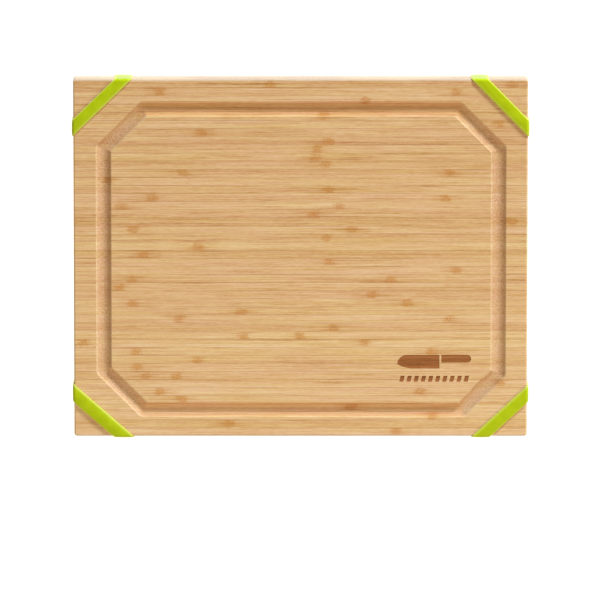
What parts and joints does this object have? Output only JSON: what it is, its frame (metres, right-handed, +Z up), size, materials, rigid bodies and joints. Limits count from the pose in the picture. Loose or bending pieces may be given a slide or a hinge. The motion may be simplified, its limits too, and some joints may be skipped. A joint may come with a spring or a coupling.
{
  "type": "cutting board",
  "caption": "Bamboo chopping board with an eight-sided juice groove and a green silicone grip band that pulls off each corner.",
  "frame": {"origin": "on the worktop, below the middle of the board, at the undersides of the bands", "axes": "+X along the grain, +Y to the rear edge, +Z up from the cutting surface"},
  "size_m": [0.3824, 0.3056, 0.0237],
  "materials": {
    "bamboo": "oiled satin",
    "green_silicone": "smooth matt"
  },
  "bodies": {
    "board": {"bamboo_strip_01": "bamboo", "bamboo_strip_02": "bamboo", "bamboo_strip_03": "bamboo", "bamboo_strip_04": "bamboo", "bamboo_strip_05": "bamboo", "bamboo_strip_06": "bamboo", "bamboo_strip_07": "bamboo", "bamboo_strip_08": "bamboo", "bamboo_strip_09": "bamboo", "bamboo_strip_10": "bamboo", "bamboo_strip_11": "bamboo", "bamboo_strip_12": "bamboo", "bamboo_strip_13": "bamboo", "bamboo_strip_14": "bamboo", "bamboo_strip_15": "bamboo", "bamboo_strip_16": "bamboo", "bamboo_strip_17": "bamboo", "bamboo_strip_18": "bamboo", "bamboo_strip_19": "bamboo", "bamboo_strip_20": "bamboo", "bamboo_strip_21": "bamboo", "bamboo_strip_22": "bamboo", "bamboo_strip_23": "bamboo", "bamboo_strip_24": "bamboo", "bamboo_strip_25": "bamboo", "bamboo_strip_26": "bamboo", "bamboo_strip_27": "bamboo", "bamboo_strip_28": "bamboo", "bamboo_strip_29": "bamboo", "bamboo_strip_30": "bamboo", "bamboo_strip_31": "bamboo", "bamboo_strip_32": "bamboo", "bamboo_strip_33": "bamboo", "bamboo_strip_34": "bamboo", "bamboo_strip_35": "bamboo", "bamboo_strip_36": "bamboo", "bamboo_strip_37": "bamboo", "bamboo_strip_38": "bamboo", "bamboo_strip_39": "bamboo", "bamboo_strip_40": "bamboo", "bamboo_strip_41": "bamboo", "bamboo_strip_42": "bamboo", "bamboo_strip_43": "bamboo", "bamboo_strip_44": "bamboo"},
    "band_rear_left": {"silicone_band_rear_left": "green_silicone"},
    "band_rear_right": {"silicone_band_rear_right": "green_silicone"},
    "band_front_left": {"silicone_band_front_left": "green_silicone"},
    "band_front_right": {"silicone_band_front_right": "green_silicone"}
  },
  "joints": [
    {"name": "pull_off_rear_left", "type": "slide", "parent": "board", "child": "band_rear_left", "axis": [-0.6984, 0.7157, 0], "range_m": [0, 0.045]},
    {"name": "pull_off_rear_right", "type": "slide", "parent": "board", "child": "band_rear_right", "axis": [0.715, 0.6992, 0], "range_m": [0, 0.045]},
    {"name": "pull_off_front_left", "type": "slide", "parent": "board", "child": "band_front_left", "axis": [-0.6621, -0.7494, 0], "range_m": [0, 0.045]},
    {"name": "pull_off_front_right", "type": "slide", "parent": "board", "child": "band_front_right", "axis": [0.6818, -0.7315, 0], "range_m": [0, 0.045]}
  ]
}
